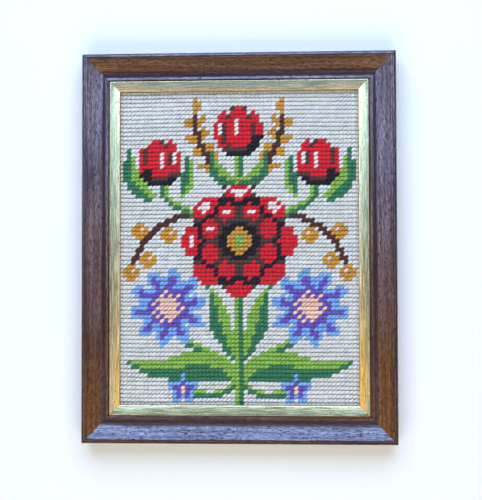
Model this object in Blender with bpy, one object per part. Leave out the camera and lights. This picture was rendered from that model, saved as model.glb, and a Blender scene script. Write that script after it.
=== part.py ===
"""Needlepoint canvas panel in a dark wood picture frame with a gilt slip, lying on its back.

The frame's back is on z = 0 and the stitched face looks up. +Y is the picture's top and +X its
right. A rail is drawn in its own section first: u runs in from the frame's outer edge and z runs
up from its back. It is then swept along one side of the frame with mitred ends.
"""

import math

import bmesh
import bpy

MM = 0.001

# The stitching sets the size: a ten-count canvas, and the stitches that show in the opening.
STITCH_PITCH = 2.54 * MM
COLUMNS_SHOWN = 57
ROWS_SHOWN = 75

# Widths seen from the front.
MOULDING_WIDTH = 16.0 * MM
SLIP_SHOWN = 6.5 * MM

# Clearances between pieces.
GAP = 0.3 * MM
END_TRIM = GAP / math.sqrt(2)
CLOTH_CLEARANCE = 0.5 * MM

# The wood moulding's section. Slopes are in degrees, and fall towards the picture.
MOULDING_HEIGHT = 18.5 * MM
LIP_WIDTH = 2.4 * MM
LIP_DROP = 2.6 * MM
CREST_WIDTH = 0.6 * MM
CREST_DROP = 0.3 * MM
SCOOP_START_SLOPE = 38
SCOOP_END_SLOPE = 22
SCOOP_END_U = 11.5 * MM
HEEL_END_SLOPE = -30
HEEL_END_U = 15.6 * MM
TOE_ROUND = 0.4 * MM
RABBET_TOP = 11.4 * MM
RABBET_WALL_U = 9.5 * MM
BACK_CHAMFER = 0.5 * MM

# The gilt slip's section: a tongue under the moulding, and the sloped face that shows.
SLIP_BOTTOM = 8.8 * MM
SLIP_SHOULDER_TOP = 13.3 * MM
SLIP_SHOULDER_ROUND = 0.5 * MM
SLIP_SLOPE_END = 11.5 * MM
SIGHT_ROUND = 0.9 * MM

# The stitched cloth: canvas and wool together, slightly crowned where no slip holds it down.
CLOTH_THICKNESS = 2.6 * MM
CLOTH_CROWN = 0.45 * MM
CLOTH_RIPPLE = 0.12 * MM
CLOTH_CELLS_X = 24
CLOTH_CELLS_Y = 30

# How flat the crown stays before it falls to the slip, and the ripple's waves over the opening.
CROWN_POWER = 4
WAVES_ACROSS = 1.7
WAVES_ALONG = 2.3
WAVE_SKEW = 0.4
WAVE_START = 0.2

# How finely the rounds are cut, and the turn past which an edge looks sharp.
LIP_STEPS = 7
SCOOP_STEPS = 8
HEEL_STEPS = 8
TOE_STEPS = 2
SHOULDER_STEPS = 4
SIGHT_STEPS = 5
SHARP_ANGLE = 32

SIGHT_WIDTH = COLUMNS_SHOWN * STITCH_PITCH
SIGHT_HEIGHT = ROWS_SHOWN * STITCH_PITCH
SIGHT_U = MOULDING_WIDTH + SLIP_SHOWN
FRAME_WIDTH = SIGHT_WIDTH + 2 * SIGHT_U
FRAME_HEIGHT = SIGHT_HEIGHT + 2 * SIGHT_U
CLOTH_WIDTH = FRAME_WIDTH - 2 * (RABBET_WALL_U + CLOTH_CLEARANCE)
CLOTH_HEIGHT = FRAME_HEIGHT - 2 * (RABBET_WALL_U + CLOTH_CLEARANCE)
CLOTH_TOP = SLIP_BOTTOM - GAP


def arc(centre_u, centre_z, radius_u, radius_z, start, end, steps):
    """Points of an elliptical arc, both ends included. Angles are in degrees from +u."""
    points = []
    for step in range(steps + 1):
        angle = math.radians(start + (end - start) * step / steps)
        u = centre_u + radius_u * math.cos(angle)
        z = centre_z + radius_z * math.sin(angle)
        points.append((u, z))
    return points


def hollow(start, end_u, start_slope, end_slope, steps):
    """Points of a circular curve that leaves the start at one slope and ends at another."""
    first = math.radians(start_slope)
    last = math.radians(end_slope)
    radius = (end_u - start[0]) / (math.sin(first) - math.sin(last))
    points = []
    for step in range(steps + 1):
        slope = first + (last - first) * step / steps
        u = start[0] + radius * (math.sin(first) - math.sin(slope))
        z = start[1] - radius * (math.cos(slope) - math.cos(first))
        points.append((u, z))
    return points


def moulding_section():
    """The wood rail: outer wall, rounded lip, long scoop, rising heel, and the rabbet behind."""
    lip_base = MOULDING_HEIGHT - LIP_DROP
    crest = (LIP_WIDTH + CREST_WIDTH, MOULDING_HEIGHT - CREST_DROP)
    scoop = hollow(crest, SCOOP_END_U, SCOOP_START_SLOPE, SCOOP_END_SLOPE, SCOOP_STEPS)
    heel = hollow(scoop[-1], HEEL_END_U, SCOOP_END_SLOPE, HEEL_END_SLOPE, HEEL_STEPS)
    toe_z = heel[-1][1] - TOE_ROUND
    points = [(RABBET_WALL_U, 0.0), (BACK_CHAMFER, 0.0), (0.0, BACK_CHAMFER)]
    points += arc(LIP_WIDTH, lip_base, LIP_WIDTH, LIP_DROP, 180, 90, LIP_STEPS)
    points += scoop + heel[1:]
    points += arc(HEEL_END_U, toe_z, TOE_ROUND, TOE_ROUND, 90, 0, TOE_STEPS)[1:]
    points += [(MOULDING_WIDTH, RABBET_TOP), (RABBET_WALL_U, RABBET_TOP)]
    return points


def slip_section():
    """The gilt rail: a tongue under the moulding, a rounded shoulder, a slope and a round edge."""
    tongue_u = RABBET_WALL_U + GAP
    tongue_top = RABBET_TOP - GAP
    shoulder_u = MOULDING_WIDTH + GAP
    shoulder_centre_u = shoulder_u + SLIP_SHOULDER_ROUND
    shoulder_centre_z = SLIP_SHOULDER_TOP - SLIP_SHOULDER_ROUND
    edge_u = SIGHT_U - SIGHT_ROUND
    edge_z = SLIP_SLOPE_END - SIGHT_ROUND
    points = [(SIGHT_U, SLIP_BOTTOM), (tongue_u, SLIP_BOTTOM), (tongue_u, tongue_top)]
    points += [(shoulder_u, tongue_top)]
    radius = SLIP_SHOULDER_ROUND
    points += arc(shoulder_centre_u, shoulder_centre_z, radius, radius, 180, 90, SHOULDER_STEPS)
    points += arc(edge_u, edge_z, SIGHT_ROUND, SIGHT_ROUND, 90, 0, SIGHT_STEPS)
    return points


def finish(name, colour, roughness, metallic):
    """A plain material with the piece's colour, roughness and metallic value."""
    material = bpy.data.materials.new(name)
    material.use_nodes = True
    shader = material.node_tree.nodes["Principled BSDF"]
    shader.inputs["Base Color"].default_value = (*colour, 1.0)
    shader.inputs["Roughness"].default_value = roughness
    shader.inputs["Metallic"].default_value = metallic
    return material


def add_object(name, mesh, material, parent):
    """Links a mesh as one named object under the parent."""
    mesh.materials.append(material)
    obj = bpy.data.objects.new(name, mesh)
    bpy.context.scene.collection.objects.link(obj)
    obj.parent = parent
    return obj


def rail_mesh(name, section, side_length):
    """A section swept along one side: local X along the side, local Y inwards, Z up, ends mitred."""
    work = bmesh.new()
    half = side_length / 2 - END_TRIM
    near = [work.verts.new((-half + u, u, z)) for u, z in section]
    end_face = work.faces.new(near)
    swept = bmesh.ops.extrude_face_region(work, geom=[end_face])
    for vert in swept["geom"]:
        if isinstance(vert, bmesh.types.BMVert):
            vert.co.x = half - vert.co.y
    bmesh.ops.recalc_face_normals(work, faces=work.faces)
    mesh = bpy.data.meshes.new(name)
    work.to_mesh(mesh)
    work.free()
    mesh.shade_smooth()
    mesh.set_sharp_from_angle(angle=math.radians(SHARP_ANGLE))
    return mesh


def rails(prefix, section, material, parent):
    """Four rails of one section round the frame, each on its own side."""
    sides = (
        ("bottom", FRAME_WIDTH, (0.0, -FRAME_HEIGHT / 2, 0.0), 0),
        ("right", FRAME_HEIGHT, (FRAME_WIDTH / 2, 0.0, 0.0), 90),
        ("top", FRAME_WIDTH, (0.0, FRAME_HEIGHT / 2, 0.0), 180),
        ("left", FRAME_HEIGHT, (-FRAME_WIDTH / 2, 0.0, 0.0), 270),
    )
    for side, length, place, turn in sides:
        name = f"{prefix}_{side}"
        rail = add_object(name, rail_mesh(name, section, length), material, parent)
        rail.location = place
        rail.rotation_euler = (0.0, 0.0, math.radians(turn))


def cloth_height(x, y):
    """Height of the cloth's face: level under the slip, softly crowned and uneven inside it."""
    across = min(1.0, abs(2 * x / SIGHT_WIDTH))
    along = min(1.0, abs(2 * y / SIGHT_HEIGHT))
    free = (1 - across ** CROWN_POWER) * (1 - along ** CROWN_POWER)
    skew = WAVE_SKEW * x / SIGHT_WIDTH
    waves_across = math.sin(2 * math.pi * (WAVES_ACROSS * x / SIGHT_WIDTH + WAVE_START))
    waves_along = math.sin(2 * math.pi * (WAVES_ALONG * y / SIGHT_HEIGHT + skew))
    return CLOTH_TOP + free * (CLOTH_CROWN + CLOTH_RIPPLE * waves_across * waves_along)


def stitched_cloth(material, parent):
    """The needlepoint canvas as one sheet, laid in the rabbet behind the slip."""
    mesh = bpy.data.meshes.new("needlepoint_canvas")
    work = bmesh.new()
    bmesh.ops.create_grid(work, x_segments=CLOTH_CELLS_X, y_segments=CLOTH_CELLS_Y, size=0.5)
    for vert in work.verts:
        x = vert.co.x * CLOTH_WIDTH
        y = vert.co.y * CLOTH_HEIGHT
        vert.co = (x, y, cloth_height(x, y))
    work.to_mesh(mesh)
    work.free()
    mesh.shade_smooth()
    cloth = add_object("needlepoint_canvas", mesh, material, parent)
    sheet = cloth.modifiers.new("Sheet", "SOLIDIFY")
    sheet.thickness = CLOTH_THICKNESS
    sheet.offset = -1.0


def main():
    for obj in list(bpy.data.objects):
        bpy.data.objects.remove(obj)
    panel = bpy.data.objects.new("panel", None)
    bpy.context.scene.collection.objects.link(panel)
    wood = finish("stained_wood", (0.085, 0.040, 0.024), 0.38, 0.0)
    gilt = finish("gilt", (0.76, 0.62, 0.33), 0.35, 0.85)
    wool = finish("wool", (0.72, 0.68, 0.62), 0.9, 0.0)
    rails("moulding", moulding_section(), wood, panel)
    rails("slip", slip_section(), gilt, panel)
    stitched_cloth(wool, panel)


main()
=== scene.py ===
"""A needlepoint canvas panel in a dark wood picture frame with a gilt slip: its looks.

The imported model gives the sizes. It lies on its back on z = 0, its stitched face looks up, +Y is
the picture's top and +X its right. Lengths are in metres. A rail is worked out along its own
side first: u runs in from the frame's outer edge, z runs up from its back.
"""

from __future__ import annotations

import logging
import math
from collections.abc import Mapping, Sequence
from dataclasses import dataclass, field
from enum import Enum
from typing import Any, Protocol

import bpy
import numpy as np
from mathutils import Matrix, Vector
from numpy.typing import NDArray


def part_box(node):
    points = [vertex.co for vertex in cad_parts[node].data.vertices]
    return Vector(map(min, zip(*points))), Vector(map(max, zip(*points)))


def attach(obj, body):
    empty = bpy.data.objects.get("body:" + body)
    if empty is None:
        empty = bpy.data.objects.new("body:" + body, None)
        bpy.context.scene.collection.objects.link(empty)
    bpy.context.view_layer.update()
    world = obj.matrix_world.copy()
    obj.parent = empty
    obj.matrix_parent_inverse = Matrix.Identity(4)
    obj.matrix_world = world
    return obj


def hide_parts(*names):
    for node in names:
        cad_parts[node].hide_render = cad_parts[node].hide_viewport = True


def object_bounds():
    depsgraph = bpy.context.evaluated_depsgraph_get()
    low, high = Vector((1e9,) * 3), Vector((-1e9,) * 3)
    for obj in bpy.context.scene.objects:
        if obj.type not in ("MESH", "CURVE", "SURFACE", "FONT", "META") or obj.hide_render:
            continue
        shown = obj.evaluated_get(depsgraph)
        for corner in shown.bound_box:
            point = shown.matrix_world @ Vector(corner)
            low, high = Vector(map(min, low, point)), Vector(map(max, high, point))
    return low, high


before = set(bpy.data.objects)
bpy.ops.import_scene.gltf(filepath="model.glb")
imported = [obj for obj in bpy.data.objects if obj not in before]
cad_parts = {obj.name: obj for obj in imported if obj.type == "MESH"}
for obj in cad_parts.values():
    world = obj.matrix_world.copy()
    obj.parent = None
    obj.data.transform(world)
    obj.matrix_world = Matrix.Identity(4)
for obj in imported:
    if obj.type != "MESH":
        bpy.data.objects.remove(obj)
CAD_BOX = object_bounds()

MM = 0.001
BODY = "root"
SEED = 20

Floats = NDArray[np.float64]
Ints = NDArray[np.int64]
Mask = NDArray[np.bool_]
Rgba = tuple[float, float, float, float]

log = logging.getLogger("panel")


@dataclass(frozen=True)
class Colour:
    """A colour as it looks on a screen, each channel from 0 to 255."""

    red: int
    green: int
    blue: int

    def linear(self, share: float = 1.0) -> Rgba:
        """Turns the colour into linear light, as a shader takes it.

        Args:
            share: How much of its light is kept.

        Returns:
            Its red, green and blue, and full cover.
        """
        shown = np.array([self.red, self.green, self.blue]) / 255
        low = shown / 12.92
        high = ((shown + 0.055) / 1.055) ** 2.4
        channels = share * np.where(shown <= 0.04045, low, high)
        return (float(channels[0]), float(channels[1]), float(channels[2]), 1.0)


class Wire:
    """An output socket. Arithmetic on it adds Math nodes to its material."""

    def __init__(self, paint: Paint, socket: bpy.types.NodeSocket) -> None:
        """Keeps the socket and the material it belongs to.

        Args:
            paint: The material being written.
            socket: The output socket that this wire carries.
        """
        self.paint = paint
        self.socket = socket

    def math(self, operation: str, *others: Wire | float) -> Wire:
        """Joins this value with others through one Math node.

        Args:
            operation: The Math node's operation.
            others: The second value, and the third where the operation takes one.

        Returns:
            The Math node's result.
        """
        return self.paint.calculate(operation, self, *others)

    def __add__(self, other: Wire | float) -> Wire:
        """This value plus the other."""
        return self.math("ADD", other)

    def __radd__(self, other: float) -> Wire:
        """A number plus this value."""
        return self.math("ADD", other)

    def __sub__(self, other: Wire | float) -> Wire:
        """This value less the other."""
        return self.math("SUBTRACT", other)

    def __rsub__(self, other: float) -> Wire:
        """A number less this value."""
        return self.paint.calculate("SUBTRACT", other, self)

    def __mul__(self, other: Wire | float) -> Wire:
        """This value times the other."""
        return self.math("MULTIPLY", other)

    def __rmul__(self, other: float) -> Wire:
        """A number times this value."""
        return self.math("MULTIPLY", other)

    def __pow__(self, other: float) -> Wire:
        """This value to a power."""
        return self.math("POWER", other)

    def wave(self) -> Wire:
        """The sine of this value, moved and scaled to run from 0 to 1."""
        return self.math("SINE") * 0.5 + 0.5

    def within(self, low: float, high: float) -> Wire:
        """A soft step from 0 at low to 1 at high.

        Args:
            low: The value that gives 0.
            high: The value that gives 1. It may be the smaller of the two.

        Returns:
            The step's height, clamped and eased at both ends.
        """
        settings = {"interpolation_type": "SMOOTHSTEP"}
        values = {"Value": self, "From Min": low, "From Max": high}
        return self.paint.node("ShaderNodeMapRange", settings, values, "Result")


class Paint:
    """One node material on a Principled shader, written as expressions."""

    def __init__(self, name: str) -> None:
        """Starts a material with an empty node tree.

        Args:
            name: The material's name.
        """
        self.material = bpy.data.materials.new(name)
        self.material.use_nodes = True
        self.tree = self.material.node_tree
        self.tree.nodes.clear()

    def add(
        self,
        kind: str,
        settings: Mapping[str, Any] | None = None,
        values: Mapping[str | int, Any] | None = None,
    ) -> bpy.types.Node:
        """Adds one node: its settings first, then its sockets.

        Args:
            kind: The node's type.
            settings: The node's own properties.
            values: A value or a wire for each socket, by the socket's name or number.

        Returns:
            The node.
        """
        made = self.tree.nodes.new(kind)
        for name, setting in (settings or {}).items():
            setattr(made, name, setting)
        for name, value in (values or {}).items():
            self.feed(made.inputs[name], value)
        return made

    def node(
        self,
        kind: str,
        settings: Mapping[str, Any] | None = None,
        values: Mapping[str | int, Any] | None = None,
        result: str | int = 0,
    ) -> Wire:
        """Adds one node and gives one of its outputs.

        Args:
            kind: The node's type.
            settings: The node's own properties.
            values: A value or a wire for each socket.
            result: The name or number of the output that is wanted.

        Returns:
            That output.
        """
        return Wire(self, self.add(kind, settings, values).outputs[result])

    def feed(self, socket: bpy.types.NodeSocket, value: Any) -> None:
        """Links a wire to an input socket, or sets its value.

        Args:
            socket: The input socket.
            value: A wire, or what the socket is set to.
        """
        if isinstance(value, Wire):
            self.tree.links.new(value.socket, socket)
        else:
            socket.default_value = value

    def calculate(self, operation: str, *values: Wire | float) -> Wire:
        """Adds a Math node on the values, in order."""
        return self.node("ShaderNodeMath", {"operation": operation}, dict(enumerate(values)))

    def attribute(self, name: str) -> Wire:
        """A number that the mesh keeps for each of its points."""
        return self.node("ShaderNodeAttribute", {"attribute_name": name}, {}, "Fac")

    def uv(self) -> Wire:
        """The piece's own UV map."""
        return self.node("ShaderNodeUVMap", {"uv_map": "UVMap"}, {}, "UV")

    def place(self) -> Wire:
        """The point's place on the object, in metres."""
        return self.node("ShaderNodeTexCoord", {}, {}, "Object")

    def parts(self, vector: Wire) -> tuple[Wire, Wire, Wire]:
        """Splits a vector.

        Args:
            vector: The vector.

        Returns:
            Its X, Y and Z.
        """
        x = self.node("ShaderNodeSeparateXYZ", {}, {"Vector": vector}, "X")
        outputs = x.socket.node.outputs
        return x, Wire(self, outputs["Y"]), Wire(self, outputs["Z"])

    def stretched(self, vector: Wire, scales: tuple[float, float, float]) -> Wire:
        """A vector scaled on each axis."""
        settings = {"operation": "MULTIPLY"}
        return self.node("ShaderNodeVectorMath", settings, {0: vector, 1: scales}, "Vector")

    def noise(self, vector: Wire, scale: float, detail: float, roughness: float) -> Wire:
        """Soft noise from 0 to 1.

        Args:
            vector: Where it is read.
            scale: How many blotches there are for each unit of the vector.
            detail: How many finer layers are added.
            roughness: How strong the finer layers are.

        Returns:
            The noise, with 0.5 in the middle.
        """
        values = {"Vector": vector, "Scale": scale, "Detail": detail, "Roughness": roughness}
        return self.node("ShaderNodeTexNoise", {}, values, "Fac")

    def streaks(self, rail: Wire, along: float, across: float, detail: float, roughness: float) -> Wire:
        """Soft noise that is drawn out along U.

        Args:
            rail: The UV place, in metres.
            along: How many blotches there are in a metre of U.
            across: How many there are in a metre of V.
            detail: How many finer layers are added.
            roughness: How strong the finer layers are.

        Returns:
            The noise, with 0.5 in the middle.
        """
        return self.noise(self.stretched(rail, (along, across, 1.0)), 1.0, detail, roughness)

    def mixed(self, factor: Wire | float, first: Wire | Rgba, second: Wire | Rgba) -> Wire:
        """Blends two colours.

        Args:
            factor: How far it goes from the first to the second, from 0 to 1.
            first: The colour at 0.
            second: The colour at 1.

        Returns:
            The blend.
        """
        settings = {"data_type": "RGBA"}
        values = {0: factor, 6: first, 7: second}
        return self.node("ShaderNodeMix", settings, values, 2)

    def relief(self, height: Wire, distance: float, strength: float) -> Wire:
        """A bump of the surface.

        Args:
            height: The height, from 0 to 1.
            distance: What a height of 1 is in metres.
            strength: How much of it shows.

        Returns:
            The bumped normal.
        """
        values = {"Height": height, "Distance": distance, "Strength": strength}
        return self.node("ShaderNodeBump", {}, values, "Normal")

    def close(self, **values: Any) -> bpy.types.Material:
        """Adds the shader and the output.

        Args:
            values: The shader's sockets by name, with _ for a space.

        Returns:
            The finished material.
        """
        named = {name.replace("_", " "): value for name, value in values.items()}
        shader = self.node("ShaderNodeBsdfPrincipled", {}, named, "BSDF")
        self.add("ShaderNodeOutputMaterial", {}, {"Surface": shader})
        return self.material


@dataclass
class Skin:
    """A mesh as arrays, before it becomes an object.

    Attributes:
        points: The points, one row each.
        corners: The point at each face's corners, face after face.
        sizes: How many corners each face has.
        uv: The UV place of each corner.
        tone: One number a point, from -1 to 1, for a finish to read.
    """

    points: Floats
    corners: Ints
    sizes: Ints
    uv: Floats
    tone: Floats

    @classmethod
    def joined(cls, skins: Sequence[Skin]) -> Skin:
        """Makes several skins one, each with its corners counted on from the last.

        Args:
            skins: The skins, in order.

        Returns:
            The one skin.
        """
        counts = np.array([len(skin.points) for skin in skins])
        first = np.concatenate(([0], np.cumsum(counts)[:-1]))
        corners = [skin.corners + start for skin, start in zip(skins, first)]
        return cls(
            np.concatenate([skin.points for skin in skins]),
            np.concatenate(corners),
            np.concatenate([skin.sizes for skin in skins]),
            np.concatenate([skin.uv for skin in skins]),
            np.concatenate([skin.tone for skin in skins]),
        )

    def to_object(self, name: str, material: bpy.types.Material, sharp_deg: float | None) -> bpy.types.Object:
        """Makes the object, in place, with its UV map and tones.

        Args:
            name: The object's name.
            material: Its one material.
            sharp_deg: Edges that turn more than this stay sharp; None leaves all smooth.

        Returns:
            The new object, linked to the scene.
        """
        mesh = bpy.data.meshes.new(name)
        mesh.vertices.add(len(self.points))
        mesh.vertices.foreach_set("co", self.points.astype(np.float32).ravel())
        mesh.loops.add(len(self.corners))
        mesh.loops.foreach_set("vertex_index", self.corners.astype(np.int32))
        starts = np.concatenate(([0], np.cumsum(self.sizes)[:-1]))
        mesh.polygons.add(len(self.sizes))
        mesh.polygons.foreach_set("loop_start", starts.astype(np.int32))
        mesh.update(calc_edges=True)
        layer = mesh.uv_layers.new(name="UVMap")
        layer.data.foreach_set("uv", self.uv.astype(np.float32).ravel())
        kept = mesh.attributes.new("tone", "FLOAT", "POINT")
        kept.data.foreach_set("value", self.tone.astype(np.float32))
        mesh.shade_smooth()
        if sharp_deg is not None:
            mesh.set_sharp_from_angle(angle=math.radians(sharp_deg))
        mesh.materials.append(material)
        made = bpy.data.objects.new(name, mesh)
        bpy.context.scene.collection.objects.link(made)
        log.info("%s: %d triangles", name, int((self.sizes - 2).sum()))
        return made


def arc(
    centre: tuple[float, float], radii: tuple[float, float], turn_deg: tuple[float, float], steps: int
) -> Floats:
    """An elliptical arc: centre + (ru cos a, rz sin a), with a going evenly from start to end.

    Args:
        centre: The ellipse's centre, as u and z.
        radii: Its radii along u and z.
        turn_deg: The start and end angles, from +u.
        steps: How many straight steps there are.

    Returns:
        The points, both ends included.
    """
    angles = np.radians(np.linspace(turn_deg[0], turn_deg[1], steps + 1))
    return np.stack([centre[0] + radii[0] * np.cos(angles), centre[1] + radii[1] * np.sin(angles)], 1)


class Labelled(Enum):
    """Named options whose names go into the names of pieces."""

    @property
    def label(self) -> str:
        """The name as a piece's name has it."""
        return self.name.lower()


class Side(Labelled):
    """A side of the frame, with how many quarter turns it is from the bottom one."""

    BOTTOM = 0
    RIGHT = 1
    TOP = 2
    LEFT = 3


@dataclass(frozen=True)
class Sizes:
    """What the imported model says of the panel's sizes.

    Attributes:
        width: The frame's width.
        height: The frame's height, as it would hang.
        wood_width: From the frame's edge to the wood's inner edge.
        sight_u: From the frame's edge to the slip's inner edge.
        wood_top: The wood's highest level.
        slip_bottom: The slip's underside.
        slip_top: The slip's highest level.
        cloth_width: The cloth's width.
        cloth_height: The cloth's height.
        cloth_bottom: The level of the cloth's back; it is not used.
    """

    width: float
    height: float
    wood_width: float
    sight_u: float
    wood_top: float
    slip_bottom: float
    slip_top: float
    cloth_width: float
    cloth_height: float
    cloth_bottom: float

    @classmethod
    def read(cls) -> Sizes:
        """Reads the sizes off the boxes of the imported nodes.

        Returns:
            The sizes.
        """
        low, high = CAD_BOX
        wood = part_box("moulding_left")[1]
        slip_low, slip_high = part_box("slip_left")
        cloth_low, cloth_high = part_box("needlepoint_canvas")
        return cls(
            width=high.x - low.x,
            height=high.y - low.y,
            wood_width=wood.x - low.x,
            sight_u=slip_high.x - low.x,
            wood_top=wood.z,
            slip_bottom=slip_low.z,
            slip_top=slip_high.z,
            cloth_width=cloth_high.x - cloth_low.x,
            cloth_height=cloth_high.y - cloth_low.y,
            cloth_bottom=cloth_low.z,
        )

    @property
    def sight_width(self) -> float:
        """The width of the opening."""
        return self.width - 2 * self.sight_u

    @property
    def sight_height(self) -> float:
        """The height of the opening."""
        return self.height - 2 * self.sight_u


@dataclass(frozen=True)
class StainedWood:
    """Dark stained wood under a worn satin lacquer, its grain along the UV map's U."""

    dark: Colour = Colour(47, 24, 12)
    light: Colour = Colour(67, 38, 20)
    pore: Colour = Colour(14, 7, 5)

    def material(self) -> bpy.types.Material:
        """Long streaks, short dashes and dark pores, which also break up the lacquer.

        Returns:
            The material.
        """
        paint = Paint("stained_wood")
        grain = paint.uv()
        streak = paint.streaks(grain, 22.0, 560.0, 2.0, 0.5).within(0.36, 0.64)
        dash = paint.streaks(grain, 230.0, 1500.0, 2.0, 0.6).within(0.38, 0.62)
        pores = paint.streaks(grain, 420.0, 1500.0, 1.0, 0.4).within(0.60, 0.70)
        tone = streak * 0.5 + dash * 0.5
        ground = paint.mixed(tone, self.dark.linear(), self.light.linear())
        colour = paint.mixed(pores * 0.5, ground, self.pore.linear())
        gloss = (0.55 + streak * 0.45) * (0.4 + dash * 0.6)
        normal = paint.relief(dash * 0.45 - pores * 0.8, 0.02 * MM, 0.9)
        return paint.close(
            Base_Color=colour,
            Roughness=0.55 - tone * 0.1 + pores * 0.3,
            Specular_IOR_Level=0.12,
            Normal=normal,
            Coat_Weight=gloss * (1.0 - pores),
            Coat_Roughness=0.13,
            Coat_IOR=1.9,
        )


@dataclass(frozen=True)
class GiltLeaf:
    """Pale gold leaf, rubbed along the rail, with small dark flecks, a deeper gold sight edge and a dark
    brown wall under it: bole, and painted shadow.
    """

    pale: Colour = Colour(230, 221, 156)
    dull: Colour = Colour(196, 186, 118)
    edge: Colour = Colour(222, 180, 88)
    # wall: dark brown bole, also painted shadow under the sight edge
    wall: Colour = Colour(104, 72, 36)
    fleck: Colour = Colour(58, 54, 42)

    def material(self, edge_from: float, wall_from: float, wall_to: float) -> bpy.types.Material:
        """Streaks along U, flecks over them, a deeper gold where V passes the sight edge, and dark brown on
        the wall under it as bole and painted shadow.

        Args:
            edge_from: The V at which the edge's colour starts.
            wall_from: The V at which the wall's dark brown starts: bole, and painted shadow.
            wall_to: The V from which it is full.

        Returns:
            The material.
        """
        paint = Paint("gilt_leaf")
        rail = paint.uv()
        _, across, _ = paint.parts(rail)
        streak = paint.streaks(rail, 70.0, 1500.0, 2.0, 0.6).within(0.34, 0.66)
        cloud = paint.streaks(rail, 60.0, 260.0, 3.0, 0.5).within(0.3, 0.7)
        specks = paint.streaks(rail, 500.0, 1500.0, 1.0, 0.5).within(0.62, 0.70)
        leaf = paint.mixed(streak * 0.8 + cloud * 0.2, self.dull.linear(), self.pale.linear())
        edge = across.within(edge_from, wall_from)
        edged = paint.mixed(edge, leaf, self.edge.linear())
        # the wall's dark brown: bole, and painted shadow under the sight edge
        walled = paint.mixed(across.within(wall_from, wall_to), edged, self.wall.linear())
        colour = paint.mixed(specks * 0.8, walled, self.fleck.linear())
        rough = 0.19 + streak * 0.10 + specks * 0.3
        normal = paint.relief(streak * 0.35 - specks * 0.8, 0.012 * MM, 0.8)
        metal = 0.95 - specks * 0.6
        return paint.close(Base_Color=colour, Roughness=rough, Metallic=metal - edge * 0.6, Normal=normal)


@dataclass(frozen=True)
class TapestryWool:
    """Soft plied wool: plies wind round each stitch, and painted shade darkens it where it lies low.

    Attributes:
        colour: The wool's colour.
        plies: How many plies there are.
        winds: How far they wind round the yarn in one stitch.
        dim: The share of its colour that is left down in the gaps, as painted shade.
        bright: The share of it on the tops of the lightest stitches, where no painted shade falls.
        tone_range: How much of the span between the two a stitch's own tone takes.
    """

    colour: Colour
    plies: float = 4.0
    winds: float = 1.4
    dim: float = 0.16
    bright: float = 1.12
    tone_range: float = 0.08

    def material(self, name: str) -> bpy.types.Material:
        """Plies, and painted shade on the flanks and tips, from the UV map, and fibres from the place on the
        object.

        U goes round the yarn: its flanks are at 0 and a half, and its top is at a quarter. V goes
        along it. It lies low on its flanks and at both tips, where it goes down into the canvas; painted
        shade darkens its colour there and in the grooves between its plies.

        Args:
            name: The material's name.

        Returns:
            The material.
        """
        paint = Paint(name)
        around, along, _ = paint.parts(paint.uv())
        turn = around * (2 * math.pi)
        ply = (turn * self.plies + along * (2 * math.pi * self.winds)).wave() ** 0.5
        fibre = paint.noise(paint.place(), 2600.0, 2.0, 0.6)
        # painted shade: the colour darkens on the yarn's flanks and at its tips
        flank = 1.0 - turn.math("SINE").within(-0.1, 0.9)
        tip = 1.0 - (along * math.pi).math("SINE").within(0.2, 0.95)
        painted_shade = flank * 0.20 + tip * 0.25
        # lightness: the ply grooves darken it as painted shade; fibre and tone vary it at random
        lit = 0.82 + ply * 0.10 + fibre * 0.12 + paint.attribute("tone") * self.tone_range
        # the colour runs from its painted-shade share in the gaps to its full share on the tops
        colour = paint.mixed(lit - painted_shade, self.colour.linear(self.dim), self.colour.linear(self.bright))
        normal = paint.relief(ply * 0.7 + fibre * 0.5, 0.14 * MM, 0.9)
        return paint.close(
            Base_Color=colour, Roughness=0.88, Specular_IOR_Level=0.15, Normal=normal, Sheen_Weight=0.08
        )


@dataclass(frozen=True)
class BareCanvas:
    """Sized cotton canvas in streaks between two thread colours, both set darker than bare canvas as painted
    shade for the gaps between the stitches.
    """

    # painted shade: both colours are darker than bare canvas, for the gaps between the stitches
    thread: Colour = Colour(140, 116, 92)
    shadow: Colour = Colour(84, 64, 50)

    def material(self) -> bpy.types.Material:
        """Twisted-thread streaks both ways, read from the place on the object.

        Returns:
            The material.
        """
        paint = Paint("bare_canvas")
        place = paint.place()
        warp = paint.noise(paint.stretched(place, (3000.0, 500.0, 500.0)), 1.0, 2.0, 0.6)
        weft = paint.noise(paint.stretched(place, (500.0, 3000.0, 500.0)), 1.0, 2.0, 0.6)
        thread = (warp + weft).within(0.7, 1.3)
        colour = paint.mixed(thread, self.shadow.linear(), self.thread.linear())
        normal = paint.relief(thread, 0.1 * MM, 0.8)
        return paint.close(Base_Color=colour, Roughness=0.92, Normal=normal)


@dataclass(frozen=True)
class PaleFloor:
    """A plain pale floor, faintly uneven."""

    colour: Colour = Colour(252, 252, 251)

    def material(self) -> bpy.types.Material:
        """Soft clouds in roughness and colour.

        Returns:
            The material.
        """
        paint = Paint("pale_floor")
        cloud = paint.noise(paint.place(), 6.0, 3.0, 0.5)
        dim = Colour(self.colour.red - 4, self.colour.green - 4, self.colour.blue - 4)
        colour = paint.mixed(cloud, dim.linear(), self.colour.linear())
        return paint.close(Base_Color=colour, Roughness=0.6 + cloud * 0.1)


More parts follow.
